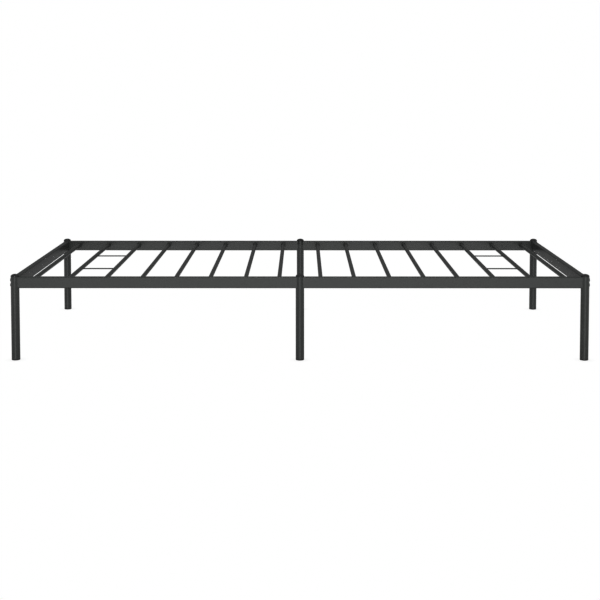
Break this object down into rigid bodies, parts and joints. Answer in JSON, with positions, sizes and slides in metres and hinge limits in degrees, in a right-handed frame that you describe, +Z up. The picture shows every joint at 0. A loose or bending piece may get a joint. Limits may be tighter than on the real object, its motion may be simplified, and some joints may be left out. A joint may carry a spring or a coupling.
{
  "type": "metal bed frame",
  "caption": "Low single bed frame of dark powder-coated steel tube, with round capped legs, flat rails and round cross slats that carry a mattress.",
  "frame": {"origin": "on the floor, at the centre of the footprint", "axes": "+X along the bed towards the foot end, +Y towards the rear side, +Z up"},
  "size_m": [2.0734, 0.97, 0.31],
  "materials": {
    "leg_coat": "satin black powder coat",
    "rail_coat": "satin black powder coat",
    "slat_coat": "satin black powder coat",
    "cap_plastic": "semi-gloss moulded black",
    "glide_plastic": "matt moulded black",
    "bolt_black": "black oxide",
    "joint_steel": "zinc plated"
  },
  "bodies": {
    "root": {"leg_head_front": "leg_coat", "leg_head_rear": "leg_coat", "leg_middle_front": "leg_coat", "leg_middle_rear": "leg_coat", "leg_foot_front": "leg_coat", "leg_foot_rear": "leg_coat", "cap_head_front": "cap_plastic", "cap_head_rear": "cap_plastic", "cap_middle_front": "cap_plastic", "cap_middle_rear": "cap_plastic", "cap_foot_front": "cap_plastic", "cap_foot_rear": "cap_plastic", "glide_head_front": "glide_plastic", "glide_head_rear": "glide_plastic", "glide_middle_front": "glide_plastic", "glide_middle_rear": "glide_plastic", "glide_foot_front": "glide_plastic", "glide_foot_rear": "glide_plastic", "side_rail_head_front": "rail_coat", "side_rail_head_rear": "rail_coat", "side_rail_foot_front": "rail_coat", "side_rail_foot_rear": "rail_coat", "end_rail_head": "rail_coat", "end_rail_foot": "rail_coat", "slat_01": "slat_coat", "slat_02": "slat_coat", "slat_03": "slat_coat", "slat_04": "slat_coat", "slat_05": "slat_coat", "slat_06": "slat_coat", "slat_07": "slat_coat", "slat_08": "slat_coat", "slat_09": "slat_coat", "slat_10": "slat_coat", "slat_11": "slat_coat", "slat_12": "slat_coat", "slat_13": "slat_coat", "slat_14": "slat_coat", "slat_15": "slat_coat", "slat_16": "slat_coat", "tie_rod_head_front": "slat_coat", "tie_rod_head_rear": "slat_coat", "tie_rod_foot_front": "slat_coat", "tie_rod_foot_rear": "slat_coat", "threaded_plate_head_front": "joint_steel", "threaded_plate_head_rear": "joint_steel", "threaded_plate_foot_front": "joint_steel", "threaded_plate_foot_rear": "joint_steel", "spigot_head_front": "joint_steel", "spigot_head_rear": "joint_steel", "spigot_foot_front": "joint_steel", "spigot_foot_rear": "joint_steel", "corner_bolts": "bolt_black", "saddle_washers": "glide_plastic", "corner_weld_nuts": "joint_steel", "spigot_screws": "bolt_black", "spigot_weld_nuts": "joint_steel"}
  },
  "joints": []
}
